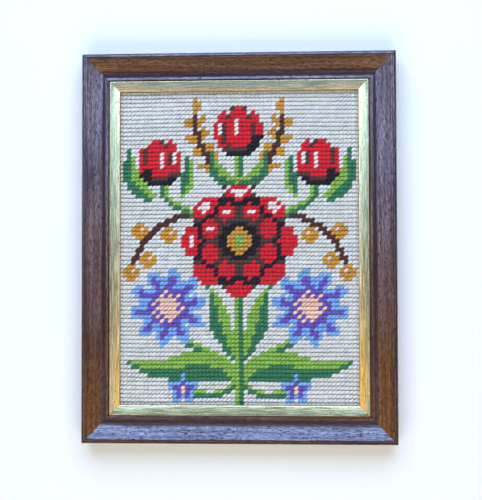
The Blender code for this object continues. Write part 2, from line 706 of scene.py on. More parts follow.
@dataclass(frozen=True)
class Rails:
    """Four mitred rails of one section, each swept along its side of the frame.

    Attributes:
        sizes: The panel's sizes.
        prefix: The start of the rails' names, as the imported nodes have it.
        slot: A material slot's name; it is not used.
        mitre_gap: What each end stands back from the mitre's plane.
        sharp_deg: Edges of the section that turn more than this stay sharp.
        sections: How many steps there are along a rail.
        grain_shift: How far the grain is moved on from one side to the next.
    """

    sizes: Sizes
    prefix: str
    slot: str
    mitre_gap: float = 0.05 * MM
    sharp_deg: float = 38.0
    sections: int = 16
    grain_shift: float = 0.37

    def swept(self, section: Floats, side: Side) -> Skin:
        """One rail: the point at (s, k) is the section's k-th point, carried to s along the side.

        At s from 0 to 1 the place along the side is (2 s - 1) (half - u), so that both ends run
        at 45 degrees. It is then turned by quarter turns to its side.

        Args:
            section: The closed section's points, as u and z, anticlockwise as seen looking along.
            side: Which side of the frame it is.

        Returns:
            The rail's surface, with U along it and V round its section, in metres.
        """
        lying = side in (Side.BOTTOM, Side.TOP)
        length, depth = self.sizes.width, self.sizes.height
        if not lying:
            length, depth = depth, length
        steps = np.linspace(-1.0, 1.0, self.sections + 1)
        along = steps[:, None] * (length / 2 - self.mitre_gap - section[None, :, 0])
        across = np.broadcast_to(section[None, :, 0] - depth / 2, along.shape)
        up = np.broadcast_to(section[None, :, 1], along.shape)
        turn = side.value * math.pi / 2
        x = along * math.cos(turn) - across * math.sin(turn)
        y = along * math.sin(turn) + across * math.cos(turn)
        points = np.stack([x, y, up], -1).reshape(-1, 3)
        closed = np.vstack([section, section[:1]])
        travel = np.concatenate(([0.0], np.cumsum(np.hypot(*np.diff(closed, axis=0).T))))
        return self.skinned(points, along, travel, len(section), side)

    def skinned(self, points: Floats, along: Floats, travel: Floats, count: int, side: Side) -> Skin:
        """Joins the swept points with quads round the section and one flat face at each end.

        Args:
            points: The points, section after section.
            along: Each point's place along the side.
            travel: The distance round the section at each point, and back at the first.
            count: How many points the section has.
            side: Which side it is, which moves the grain along.

        Returns:
            The closed surface.
        """
        s, k = np.meshgrid(np.arange(self.sections), np.arange(count), indexing="ij")
        after = (k + 1) % count
        rounds = ((s, k), (s + 1, k), (s + 1, after), (s, after))
        quads = np.stack([step * count + point for step, point in rounds], -1)
        shift = side.value * self.grain_shift
        quads_u = np.stack([along[step, point] for step, point in rounds], -1) + shift
        low, high = travel[k], travel[k + 1]
        quads_uv = np.stack([quads_u, np.stack([low, low, high, high], -1)], -1)
        start = np.arange(count)
        end = start[::-1] + self.sections * count
        ends_uv = [np.stack([np.full(count, shift), places], 1) for places in (travel[:-1], travel[-2::-1])]
        return Skin(
            points,
            np.concatenate([quads.ravel(), start, end]),
            np.concatenate([np.full(quads.size // 4, 4), [count, count]]),
            np.concatenate([quads_uv.reshape(-1, 2), *ends_uv]),
            np.zeros(len(points)),
        )

    def build(self, section: Floats, material: bpy.types.Material) -> None:
        """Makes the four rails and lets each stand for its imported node.

        Args:
            section: The rails' section.
            material: Their finish.
        """
        for side in Side:
            skin = self.swept(section, side)
            rail = skin.to_object(f"{self.prefix}_rail_{side.label}", material, self.sharp_deg)
            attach(rail, BODY)
            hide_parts(f"{self.prefix}_{side.label}")


@dataclass(frozen=True)
class Moulding:
    """The wood frame: a rounded outer lip, a wide hollow, and a heel that rises to the slip.

    Attributes:
        sizes: The panel's sizes.
        lip_width: How far in the lip's round reaches.
        lip_drop: How far down the outer wall the round starts.
        crest_width: The flat top beside the lip.
        crest_drop: How far the hollow starts below the top.
        scoop_slopes: The hollow's slopes in degrees, at its start and at its end.
        scoop_end: How far in the hollow ends.
        heel_slope: The slope in degrees at which the heel ends; less than 0 rises.
        heel_end: Where the heel ends, from the wood's inner edge.
        toe_round: The round over the heel.
        rabbet_top: The underside of the ledge over the slip.
        rabbet_wall: Where the rabbet's wall stands.
        back_chamfer: The chamfer between the wall and the back.
    """

    sizes: Sizes
    lip_width: float = 2.4 * MM
    lip_drop: float = 2.6 * MM
    crest_width: float = 0.6 * MM
    crest_drop: float = 0.3 * MM
    scoop_slopes: tuple[float, float] = (38.0, 22.0)
    scoop_end: float = 11.5 * MM
    heel_slope: float = -30.0
    heel_end: float = 0.4 * MM
    toe_round: float = 0.4 * MM
    rabbet_top: float = 11.4 * MM
    rabbet_wall: float = 9.5 * MM
    back_chamfer: float = 0.5 * MM

    @staticmethod
    def hollow(start: Floats, end_u: float, slopes_deg: tuple[float, float], steps: int) -> Floats:
        """A circular curve that leaves the start at one slope and ends at another.

        Where its slope is a, u = u0 + R (sin a0 - sin a) and z = z0 - R (cos a - cos a0), with
        R = (end_u - u0) / (sin a0 - sin a1).

        Args:
            start: The first point, as u and z.
            end_u: The last point's u.
            slopes_deg: The first and last slopes; a slope over 0 falls.
            steps: How many straight steps there are.

        Returns:
            The points, both ends included.
        """
        slopes = np.radians(np.linspace(slopes_deg[0], slopes_deg[1], steps + 1))
        radius = (end_u - start[0]) / (np.sin(slopes[0]) - np.sin(slopes[-1]))
        u = start[0] + radius * (np.sin(slopes[0]) - np.sin(slopes))
        return np.stack([u, start[1] - radius * (np.cos(slopes) - np.cos(slopes[0]))], 1)

    def section(self) -> Floats:
        """The closed section, starting at the rabbet's wall and going round by the outer wall.

        Returns:
            Its points, as u and z.
        """
        top, inner = self.sizes.wood_top, self.sizes.wood_width
        crest = np.array([self.lip_width + self.crest_width, top - self.crest_drop])
        scoop = self.hollow(crest, self.scoop_end, self.scoop_slopes, steps=20)
        heel_slopes = (self.scoop_slopes[1], self.heel_slope)
        heel = self.hollow(scoop[-1], inner - self.heel_end, heel_slopes, steps=20)
        toe = (inner - self.heel_end, heel[-1, 1] - self.toe_round)
        parts = [
            [[self.rabbet_wall, 0.0], [self.back_chamfer, 0.0], [0.0, self.back_chamfer]],
            arc((self.lip_width, top - self.lip_drop), (self.lip_width, self.lip_drop), (180, 90), steps=16),
            scoop,
            heel[1:],
            arc(toe, (self.toe_round, self.toe_round), (90, 0), steps=5)[1:],
            [[inner, self.rabbet_top], [self.rabbet_wall, self.rabbet_top]],
        ]
        return np.vstack(parts)

    def build(self) -> None:
        """Sweeps and dresses the four wood rails."""
        Rails(self.sizes, "moulding", "stained_wood").build(self.section(), StainedWood().material())


@dataclass(frozen=True)
class Slip:
    """The gilt slip: a tongue under the wood, a rounded shoulder, a slope and a round sight edge.

    Attributes:
        sizes: The panel's sizes.
        moulding: The wood that it sits in.
        gap: What it stands off from the wood.
        shoulder_round: The shoulder's radius.
        slope_end: The level at which the slope meets the sight edge.
        sight_round: The sight edge's radius.
        stops: Where the edge's colour starts, where the wall's dark brown (bole, and painted shadow)
        starts and where it is full, in sight rounds from the top of the wall.
    """

    sizes: Sizes
    moulding: Moulding
    gap: float = 0.3 * MM
    shoulder_round: float = 0.5 * MM
    slope_end: float = 11.5 * MM
    sight_round: float = 0.9 * MM
    stops: tuple[float, float, float] = (-1.3, -0.5, 0.1)

    def section(self) -> Floats:
        """The closed section, starting at the sight edge's foot and going round by the tongue.

        Returns:
            Its points, as u and z.
        """
        bottom, top, sight = self.sizes.slip_bottom, self.sizes.slip_top, self.sizes.sight_u
        tongue = self.moulding.rabbet_wall + self.gap
        tongue_top = self.moulding.rabbet_top - self.gap
        shoulder = self.sizes.wood_width + self.gap
        round_radii = (self.shoulder_round, self.shoulder_round)
        edge_radii = (self.sight_round, self.sight_round)
        parts = [
            [[sight, bottom], [tongue, bottom], [tongue, tongue_top], [shoulder, tongue_top]],
            arc((shoulder + self.shoulder_round, top - self.shoulder_round), round_radii, (180, 75), steps=7),
            arc((sight - self.sight_round, self.slope_end - self.sight_round), edge_radii, (75, 0), steps=10),
        ]
        return np.vstack(parts)

    def build(self) -> None:
        """Sweeps and dresses the four gilt rails; the last stretch of the section is deeper gold, then the
        wall's dark brown: bole, and painted shadow.
        """
        section = self.section()
        closed = np.vstack([section, section[:1]])
        travel = np.cumsum(np.hypot(*np.diff(closed, axis=0).T))
        wall_top = float(travel[-2])
        finish = GiltLeaf().material(*(wall_top + stop * self.sight_round for stop in self.stops))
        Rails(self.sizes, "slip", "gilt").build(section, finish)


@dataclass(frozen=True)
class Cloth:
    """The canvas's own form: how it crowns in the opening, and how its threads wander.

    Attributes:
        sizes: The panel's sizes.
        pitch: The distance between two threads.
        face: The level of the wool's tops where the slip holds the cloth down; it is not used.
        crown: How far the cloth rises in the middle.
        ripple: How uneven its rise is.
        waves: How many waves of the ripple there are across and along the opening.
        wave_start: How far on the waves across start.
        wave_skew: How far the waves along slip from one side to the other.
        drift: How far the threads wander from straight.
        thread_level: The middle of the canvas, under its wool.
        thread_thickness: The thickness of the canvas.
        weave: How far the threads go over and under.
        hole: The width of the gap between two threads.
    """

    sizes: Sizes
    pitch: float = 2.54 * MM
    face: float = 8.5 * MM
    crown: float = 0.45 * MM
    ripple: float = 0.12 * MM
    waves: tuple[float, float] = (1.7, 2.3)
    wave_start: float = 0.2
    wave_skew: float = 0.4
    drift: float = 0.30 * MM
    thread_level: float = 7.15 * MM
    thread_thickness: float = 0.5 * MM
    weave: float = 0.14 * MM
    hole: float = 1.35 * MM

    def free(self, x: Floats, y: Floats) -> Floats:
        """How free of the slip the cloth is: (1 - X^4) (1 - Y^4), with X and Y 1 at the sight edge.

        Args:
            x: Places across.
            y: Places along.

        Returns:
            From 0 at the slip to 1 in the middle.
        """
        across = np.minimum(1.0, np.abs(2 * x / self.sizes.sight_width))
        along = np.minimum(1.0, np.abs(2 * y / self.sizes.sight_height))
        return (1 - across**4) * (1 - along**4)

    def rise(self, x: Floats, y: Floats) -> Floats:
        """How far the cloth stands above its level at the edge: free (crown + ripple of two waves).

        Args:
            x: Places across.
            y: Places along.

        Returns:
            The rise.
        """
        share_x, share_y = x / self.sizes.sight_width, y / self.sizes.sight_height
        across = np.sin(2 * np.pi * (self.waves[0] * share_x + self.wave_start))
        along = np.sin(2 * np.pi * (self.waves[1] * share_y + self.wave_skew * share_x))
        return self.free(x, y) * (self.crown + self.ripple * across * along)

    def settled(self, points: Floats) -> Floats:
        """Carries points of a flat, straight canvas onto the real one: drift sideways, and rise.

        The drift is two sine waves each way, about 130 and 70 mm long, that fade by the slip.

        Args:
            points: Points on a flat canvas.

        Returns:
            The same points on the cloth.
        """
        x, y, z = points[..., 0], points[..., 1], points[..., 2]
        soft = np.clip(1.4 * self.free(x * 0.82, y * 0.82), 0.0, 1.0)
        waves_x = np.sin(52 * y + 0.8) + 0.6 * np.sin(95 * y + 31 * x + 2.1)
        waves_y = np.sin(47 * x + 1.9) + 0.6 * np.sin(88 * x - 27 * y + 0.4)
        moved_x = x + 0.6 * self.drift * soft * waves_x
        moved_y = y + 0.6 * self.drift * soft * waves_y
        return np.stack([moved_x, moved_y, z + self.rise(x, y)], -1)

    def lines(self, length: float) -> Floats:
        """Where the canvas's grid lines are on one axis: its two edges, and both sides of each hole.

        Args:
            length: The canvas's length on that axis.

        Returns:
            The lines' places, in order.
        """
        holes = math.floor((length / 2 - self.hole / 2) / self.pitch)
        centres = np.arange(-holes, holes + 1) * self.pitch
        sides = np.stack([centres - self.hole / 2, centres + self.hole / 2], 1).ravel()
        return np.concatenate(([-length / 2], sides, [length / 2]))

    def woven(self) -> Skin:
        """The canvas: a grid with a hole wherever a gap meets a gap, and walls down to its back.

        At each crossing the threads stand up or down by turns: z = level + weave (-1)^(a + b),
        where a and b count the threads.

        Returns:
            The closed surface.
        """
        xs, ys = self.lines(self.sizes.cloth_width), self.lines(self.sizes.cloth_height)
        nx, ny = len(xs), len(ys)
        i, j = np.meshgrid(np.arange(nx), np.arange(ny), indexing="ij")
        over = 1 - 2 * ((i // 2 + j // 2) % 2)
        middle = self.thread_level + self.weave * over
        x, y = xs[i], ys[j]
        top = np.stack([x, y, middle + self.thread_thickness / 2], -1)
        back = np.stack([x, y, middle - self.thread_thickness / 2], -1)
        points = self.settled(np.concatenate([top.reshape(-1, 3), back.reshape(-1, 3)]))
        number = i * ny + j
        below = nx * ny
        a, b = number[:-1, :-1], number[1:, :-1]
        c, d = number[1:, 1:], number[:-1, 1:]
        gap = (i[:-1, :-1] % 2 == 1) & (j[:-1, :-1] % 2 == 1)
        solid = ~gap
        faces = [np.stack([a, b, c, d], -1)[solid], np.stack([d, c, b, a], -1)[solid] + below]
        for first, second in ((a, b), (b, c), (c, d), (d, a)):
            faces.append(self.wall(first[gap], second[gap], below))
        faces.append(self.wall(number[1:, 0], number[:-1, 0], below))
        faces.append(self.wall(number[-1, 1:], number[-1, :-1], below))
        faces.append(self.wall(number[:-1, -1], number[1:, -1], below))
        faces.append(self.wall(number[0, :-1], number[0, 1:], below))
        quads = np.concatenate(faces)
        corners = quads.ravel()
        return Skin(points, corners, np.full(len(quads), 4), points[corners][:, :2], np.zeros(len(points)))

    @staticmethod
    def wall(first: Ints, second: Ints, below: int) -> Ints:
        """Quads from an edge on the face down to the same edge on the back."""
        return np.stack([first, second, second + below, first + below], -1)


@dataclass(frozen=True)
class Yarn:
    """Lengths of yarn that go from hole to hole, all of one shape.

    Attributes:
        rise: How far the middle of the yarn stands above its ends; less than 0 goes below them.
        half_width: Half its width in the middle.
        half_height: Half its height in the middle.
        pinch: Its thickness at the ends, as a share of the middle's.
        lean: How far each half is pushed sideways, so that the middle lies flatter.
        lift_power: How bluntly it rises; less is blunter.
        full_power: How bluntly it thickens; less is blunter.
        rings: How many rings of points there are along it.
        sides: How many points a ring has.
    """

    rise: float
    half_width: float
    half_height: float
    pinch: float
    lean: float
    lift_power: float
    full_power: float
    rings: int
    sides: int

    def laid(self, start: Floats, end: Floats, width: Floats, height: Floats, tone: Floats) -> Skin:
        """Makes a closed, plump tube for each pair of ends.

        At t from 0 to 1 the middle line is start + (end - start) t, raised by rise S^lift_power
        and pushed sideways by lean sin(2 pi t), with S = sin(pi t). Round it, at angle a, the
        surface stands off by F (half_width cos a) sideways and F (half_height sin a) upwards,
        where F = pinch + (1 - pinch) S^full_power.

        Args:
            start: Where each length starts.
            end: Where each ends.
            width: What each one's width is multiplied by.
            height: What each one's height is multiplied by.
            tone: Each one's tone.

        Returns:
            All of them as one surface, with U round and V along.
        """
        t = 0.5 - 0.5 * np.cos(np.pi * (np.arange(self.rings) + 0.5) / self.rings)
        arch = np.sin(np.pi * t)
        span = end - start
        side = np.stack([-span[:, 1], span[:, 0], np.zeros(len(span))], -1)
        side = side / np.linalg.norm(side, axis=1, keepdims=True)
        middle = start[:, None] + span[:, None] * t[None, :, None]
        middle = middle + side[:, None] * (self.lean * np.sin(2 * np.pi * t))[None, :, None]
        middle[..., 2] += self.rise * arch[None] ** self.lift_power * height[:, None]
        ahead = np.gradient(middle, t, axis=1)
        ahead = ahead / np.linalg.norm(ahead, axis=-1, keepdims=True)
        sideways = np.stack([-ahead[..., 1], ahead[..., 0], np.zeros(ahead.shape[:2])], -1)
        sideways = sideways / np.linalg.norm(sideways, axis=-1, keepdims=True)
        upwards = np.cross(ahead, sideways)
        full = self.pinch + (1 - self.pinch) * arch**self.full_power
        angle = 2 * np.pi * np.arange(self.sides) / self.sides
        wide = (self.half_width * width[:, None] * full)[..., None] * np.cos(angle)
        tall = (self.half_height * height[:, None] * full)[..., None] * np.sin(angle)
        off = wide[..., None] * sideways[:, :, None] + tall[..., None] * upwards[:, :, None]
        rings = middle[:, :, None] + off
        points = np.concatenate([start[:, None], rings.reshape(len(start), -1, 3), end[:, None]], 1)
        return self.skinned(points, tone)

    def skinned(self, points: Floats, tone: Floats) -> Skin:
        """Joins each tube's rings with quads, and closes its ends with fans.

        Args:
            points: The points of each tube: its start, its rings and its end.
            tone: Each tube's tone.

        Returns:
            The closed surfaces as one, with U round each tube and V along it.
        """
        count, each = points.shape[:2]
        k, s = np.meshgrid(np.arange(self.rings - 1), np.arange(self.sides), indexing="ij")
        rounds = ((k, s), (k, s + 1), (k + 1, s + 1), (k + 1, s))
        quads = np.stack([1 + ring * self.sides + place % self.sides for ring, place in rounds], -1)
        quads_u = np.stack([place for _, place in rounds], -1) / self.sides
        quads_v = np.stack([ring + 0.5 for ring, _ in rounds], -1) / self.rings
        s = np.arange(self.sides)
        after = (s + 1) % self.sides
        last = 1 + (self.rings - 1) * self.sides
        fans = np.stack([
            np.stack([0 * s, 1 + after, 1 + s], -1),
            np.stack([0 * s + each - 1, last + s, last + after], -1),
        ])
        fans_u = np.stack([np.stack([s + 0.5, s + 1, s], -1), np.stack([s + 0.5, s, s + 1], -1)]) / self.sides
        rim = 0.5 / self.rings
        near = np.broadcast_to([0.0, rim, rim], fans.shape[1:])
        fans_v = np.stack([near, 1 - near])
        corners = np.concatenate([quads.ravel(), fans.ravel()])
        sizes = np.concatenate([np.full(quads.size // 4, 4), np.full(2 * self.sides, 3)])
        u = np.concatenate([quads_u.ravel(), fans_u.ravel()])
        v = np.concatenate([quads_v.ravel(), fans_v.ravel()])
        return Skin(
            points.reshape(-1, 3),
            (np.arange(count)[:, None] * each + corners[None]).ravel(),
            np.tile(sizes, count),
            np.tile(np.stack([u, v], -1), (count, 1)),
            np.repeat(tone, each),
        )


class Wool(Labelled):
    """The wools of the picture, with the colour of each."""

    ECRU = Colour(222, 220, 214)
    RED = Colour(220, 28, 44)
    BROWN = Colour(78, 58, 50)
    BLACK = Colour(20, 21, 30)
    BLUSH = Colour(244, 226, 220)
    SKY = Colour(126, 172, 228)
    VIOLET = Colour(112, 84, 184)
    PEACH = Colour(244, 202, 178)
    GOLD = Colour(206, 148, 52)
    LIME = Colour(138, 184, 74)
    FOREST = Colour(52, 122, 84)
    UMBER = Colour(82, 44, 36)


@dataclass
class Chart:
    """The picture's chart: one wool for each stitch, laid motif by motif on a plain ground.

    Places on the chart are in stitches from its middle, x to the right and y up.

    Attributes:
        columns: How many stitches there are across.
        rows: How many rows there are.
        wool: The number of the wool of each stitch, row by row from the bottom.
        x: Each stitch's place across.
        y: Each stitch's place up.
    """

    columns: int
    rows: int
    wool: Ints = field(init=False)
    x: Floats = field(init=False)
    y: Floats = field(init=False)

    def __post_init__(self) -> None:
        """Starts with the plain ground."""
        self.wool = np.zeros((self.rows, self.columns), int)
        across = np.arange(self.columns) - (self.columns - 1) / 2
        up = np.arange(self.rows) - (self.rows - 1) / 2
        self.x, self.y = np.meshgrid(across, up)

    def lay(self, where: Mask, wool: Wool) -> None:
        """Lays one wool on the stitches that the mask names."""
        self.wool[where] = list(Wool).index(wool)

    def of(self, wool: Wool) -> Mask:
        """The stitches that are in one wool."""
        return self.wool == list(Wool).index(wool)


@dataclass(frozen=True)
class Spot:
    """Where a motif sits on the chart.

    Attributes:
        x: Its middle, across.
        y: Its middle, up.
        turn_deg: How far it is turned, anticlockwise.
        size: What its own lengths are multiplied by.
        flip: 1 in the right half, -1 for the same motif in the left half.
    """

    x: float
    y: float
    turn_deg: float = 0.0
    size: float = 1.0
    flip: int = 1

    def seen(self, chart: Chart) -> tuple[Floats, Floats]:
        """Each stitch's place from the motif's middle, along the motif's own axes.

        Args:
            chart: The chart.

        Returns:
            How far sideways and how far up, in the motif's own lengths.
        """
        turn = math.radians(self.turn_deg)
        across, up = self.flip * chart.x - self.x, chart.y - self.y
        sideways = (across * math.cos(turn) + up * math.sin(turn)) / self.size
        upwards = (up * math.cos(turn) - across * math.sin(turn)) / self.size
        return sideways, upwards

    def round(self, chart: Chart) -> tuple[Floats, Floats]:
        """Each stitch's distance from the motif's middle, and its bearing in radians."""
        sideways, upwards = self.seen(chart)
        return np.hypot(sideways, upwards), np.arctan2(upwards, sideways)

    def petals(self, chart: Chart, count: int, offset: float) -> Floats:
        """How far each stitch is from the middle of its petal: 0 there, 0.5 between two petals."""
        bearing = self.round(chart)[1] / (2 * math.pi)
        return np.abs((bearing * count + offset) % 1.0 - 0.5)


@dataclass(frozen=True)
class Route:
    """A smooth line over the chart: a Bezier curve.

    Attributes:
        points: The curve's control points, from its start to its end.
        flip: 1 in the right half, -1 for the same line in the left half.
        fineness: How many places on the line a stitch's distance is measured to.
    """

    points: tuple[tuple[float, float], ...]
    flip: int = 1
    fineness: int = 160

    def at(self, share: Floats | float) -> Floats:
        """The line at shares t of its length: the sum of C(n, k) t^k (1 - t)^(n - k) P_k.

        Args:
            share: The shares t, from 0 at its start to 1.

        Returns:
            The places, as x and y.
        """
        t = np.asarray(share, float)[..., None]
        last = len(self.points) - 1
        weights = [math.comb(last, k) * t**k * (1 - t) ** (last - k) for k in range(last + 1)]
        return sum(weight * np.array(point) for weight, point in zip(weights, self.points))

    def heading(self, share: float) -> float:
        """The line's bearing at a share of its length, in radians."""
        step = self.at(share) - self.at(share - 0.02)
        return math.atan2(step[1], step[0])

    def beside(self, chart: Chart) -> tuple[Floats, Floats, Floats]:
        """Measures each stitch against the line.

        Args:
            chart: The chart.

        Returns:
            Its distance from the line, its side (1 left, -1 right), and how far along it is.
        """
        line = self.at(np.linspace(0, 1, self.fineness))
        dx = self.flip * chart.x[..., None] - line[:, 0]
        dy = chart.y[..., None] - line[:, 1]
        reach = np.hypot(dx, dy)
        near = reach.argmin(-1)
        ahead = np.gradient(line, axis=0)[near]
        dx = np.take_along_axis(dx, near[..., None], -1)[..., 0]
        dy = np.take_along_axis(dy, near[..., None], -1)[..., 0]
        side = np.sign(ahead[..., 0] * dy - ahead[..., 1] * dx)
        return reach.min(-1), side, near / (len(line) - 1)


class Motif(Protocol):
    """Anything that can be drawn on the chart."""

    def draw(self, chart: Chart) -> None:
        """Lays the motif's stitches.

        Args:
            chart: The chart that they are laid on.
        """


@dataclass(frozen=True)
class Stem:
    """A stem in two greens, lit on its left side as its route runs."""

    route: Route
    half: float = 0.95

    def draw(self, chart: Chart) -> None:
        """Lays the stem's stitches.

        Args:
            chart: The chart that they are laid on.
        """
        reach, side, _ = self.route.beside(chart)
        chart.lay((reach < self.half) & (side >= 0), Wool.LIME)
        chart.lay((reach < self.half) & (side < 0), Wool.FOREST)


@dataclass(frozen=True)
class Leaf:
    """A leaf in two greens: its half width is width sin(pi t^0.75), at t along its route."""

    route: Route
    width: float

    def draw(self, chart: Chart) -> None:
        """Lays the leaf's stitches.

        Args:
            chart: The chart that they are laid on.
        """
        reach, side, along = self.route.beside(chart)
        half = self.width * np.sin(np.pi * along**0.75) + 0.2
        inside = (reach < half) & (along > 0) & (along < 1)
        chart.lay(inside & (side >= 0), Wool.LIME)
        chart.lay(inside & (side < 0), Wool.FOREST)


@dataclass(frozen=True)
class Spray:
    """A dry golden spray: pairs of small leaves up an umber stem, and one at its tip."""

    route: Route
    pairs: int = 5
    spread: float = 0.85
    leaf_length: float = 1.85
    leaf_width: float = 1.0

    def draw(self, chart: Chart) -> None:
        """Lays the spray's stitches.

        Args:
            chart: The chart that they are laid on.
        """
        for share in np.linspace(0.34, 1.0, self.pairs):
            place, heading = self.route.at(share), self.route.heading(share)
            leans = (-self.spread, self.spread) if share < 1 else (0.0,)
            for lean in leans:
                turn = heading + lean
                out = self.leaf_length * (0.95 if share < 1 else 0.5)
                x, y = place + out * np.array([math.cos(turn), math.sin(turn)])
                spot = Spot(x, y, math.degrees(turn), 1.0, self.route.flip)
                along, across = spot.seen(chart)
                leaf = (along / self.leaf_length) ** 2 + (across / self.leaf_width) ** 2 < 1
                chart.lay(leaf, Wool.GOLD)
        reach, _, along = self.route.beside(chart)
        chart.lay((reach < 0.62) & (along < 0.98), Wool.UMBER)


@dataclass(frozen=True)
class Berries:
    """Golden berries by turns on both sides of an umber tendril."""

    route: Route
    count: int = 4
    radius: float = 2.1
    out: float = 2.7

    def draw(self, chart: Chart) -> None:
        """Lays the tendril, and berries whose middles are on whole places of the chart.

        Args:
            chart: The chart that they are laid on.
        """
        reach, _, _ = self.route.beside(chart)
        chart.lay(reach < 0.62, Wool.UMBER)
        for number, share in enumerate(np.linspace(0.36, 1.0, self.count)):
            turn = self.route.heading(share) + (1.4 if number % 2 else -1.4) * (share < 1)
            out = self.out if share < 1 else 1.0
            x, y = np.round(self.route.at(share) + out * np.array([math.cos(turn), math.sin(turn)]))
            berry = Spot(x, y, flip=self.route.flip).round(chart)[0]
            glint = Spot(x - 0.5, y + 0.5, flip=self.route.flip).round(chart)[0]
            chart.lay(berry < self.radius, Wool.GOLD)
            chart.lay(glint < 0.6, Wool.PEACH)


@dataclass(frozen=True)
class Tulip:
    """A red tulip: a belly that narrows to its foot, three tips, and two dark folds."""

    spot: Spot

    def draw(self, chart: Chart) -> None:
        """Lays the tulip's stitches.

        Args:
            chart: The chart that they are laid on.
        """
        a, b = self.spot.seen(chart)
        belly = 5.6 * np.sqrt(np.clip(1 - ((b - 2.2) / 6.6) ** 2, 0, 1))
        tips = 6.2 + 2.4 * np.abs(np.cos(np.pi * a / 5.4)) ** 0.9
        inside = (np.abs(a) < belly) & (b < tips) & (b > -3.6)
        heart = 2.7 * np.sqrt(np.clip(1 - ((b - 2.0) / 6.8) ** 2, 0, 1))
        chart.lay(inside, Wool.RED)
        chart.lay(inside & (np.abs(a) >= heart) & (np.abs(a) < heart + 0.95), Wool.BROWN)
        chart.lay(inside & (b < -1.2), Wool.BROWN)
        chart.lay(inside & (a > heart) & (b < 0.9), Wool.BLACK)
        chart.lay(inside & (b < -2.4), Wool.BLACK)
        chart.lay(inside & (np.abs(a + 0.9) < 0.55) & (np.abs(b - 3.0) < 2.1), Wool.BLUSH)
        chart.lay(inside & (np.abs(a + 4.4) < 0.55) & (np.abs(b - 3.0) < 1.5), Wool.BLUSH)


@dataclass(frozen=True)
class Rosette:
    """A double red rosette: an outer and an inner ring of petals round a golden eye."""

    spot: Spot
    radius: float = 13.6
    petals: int = 8
    lit_deg: float = 112.0

    def draw(self, chart: Chart) -> None:
        """Lays the rosette's stitches, its tips blushing on the lit side.

        Args:
            chart: The chart that they are laid on.
        """
        r, bearing = self.spot.round(chart)
        share = r / self.radius
        outer = self.spot.petals(chart, self.petals, 0.5)
        inner = self.spot.petals(chart, self.petals, 0.0)
        body = share < 1 - 0.95 * outer**2.4
        ring = 0.70 * (1 - 0.95 * inner**2.4)
        lit = np.cos(bearing - math.radians(self.lit_deg)) > 0.15
        chart.lay(body, Wool.RED)
        chart.lay(body & (outer > 0.37) & (share > 0.62), Wool.BROWN)
        chart.lay(body & (outer > 0.445), Wool.BLACK)
        chart.lay(share < ring + 1.15 / self.radius, Wool.BLACK)
        chart.lay(share < ring, Wool.RED)
        chart.lay((share < ring) & (inner > 0.34) & (share > 0.40), Wool.BROWN)
        for reach, wool in ((0.42, Wool.BROWN), (0.34, Wool.BLACK), (0.23, Wool.GOLD), (0.11, Wool.LIME)):
            chart.lay(share < reach, wool)
        chart.lay(body & lit & (outer < 0.17) & (np.abs(share - 0.855) < 0.062), Wool.BLUSH)
        chart.lay((share < ring) & lit & (inner < 0.13) & (np.abs(share - 0.555) < 0.05), Wool.BLUSH)


@dataclass(frozen=True)
class Aster:
    """A blue aster with violet ribs and a speckled peach middle."""

    spot: Spot
    radius: float = 9.6
    petals: int = 10

    def draw(self, chart: Chart) -> None:
        """Lays the aster's stitches.

        Args:
            chart: The chart that they are laid on.
        """
        r, _ = self.spot.round(chart)
        across = self.spot.petals(chart, self.petals, 0.0)
        edge = self.radius * (1 - 1.35 * across**1.7)
        chart.lay(r < edge, Wool.SKY)
        chart.lay((r < 0.80 * edge) & (across < 0.16), Wool.VIOLET)
        chart.lay(r < 0.50 * self.radius, Wool.VIOLET)
        chart.lay((r < 0.40 * self.radius) & ((chart.x + chart.y) % 2 < 0.5), Wool.PEACH)
        chart.lay(r < 0.25 * self.radius, Wool.PEACH)


@dataclass(frozen=True)
class Posy:
    """A small five-petalled blue flower."""

    spot: Spot

    def draw(self, chart: Chart) -> None:
        """Lays the flower's stitches.

        Args:
            chart: The chart that they are laid on.
        """
        r, bearing = self.spot.round(chart)
        edge = 2.9 + 0.8 * np.cos(5 * (bearing - math.pi / 2))
        chart.lay(r < edge, Wool.SKY)
        chart.lay(r < 0.60 * edge, Wool.VIOLET)
        chart.lay(r < 0.8, Wool.PEACH)


